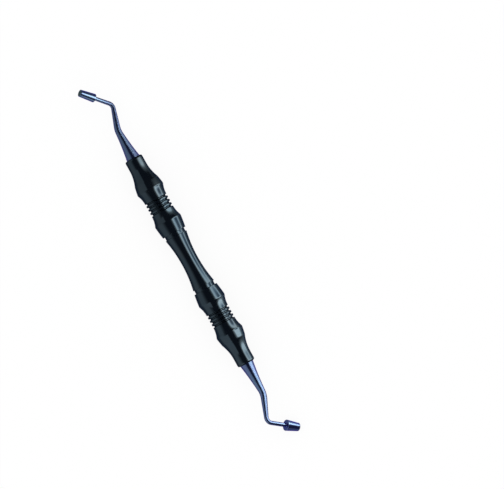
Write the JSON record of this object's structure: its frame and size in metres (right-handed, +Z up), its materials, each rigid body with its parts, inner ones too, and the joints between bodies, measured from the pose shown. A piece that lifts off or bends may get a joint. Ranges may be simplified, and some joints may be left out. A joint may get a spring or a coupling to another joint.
{
  "type": "implant plugger",
  "caption": "Double-ended dental implant plugger: a turned black handle with finger rests and bent steel ends with cone-shaped plugging heads.",
  "frame": {"origin": "on the surface that the instrument lies on, under the middle of the handle", "axes": "+X along the handle's axis from the small working end to the large one, +Z up from the surface, +Y towards the large head's side"},
  "size_m": [0.1723, 0.0149, 0.0125],
  "materials": {
    "handle_black": "polished and anodised black",
    "blued_steel": "polished steel with a blue tint"
  },
  "bodies": {
    "root": {"handle": "handle_black", "small_working_end": "blued_steel", "large_working_end": "blued_steel"}
  },
  "joints": []
}
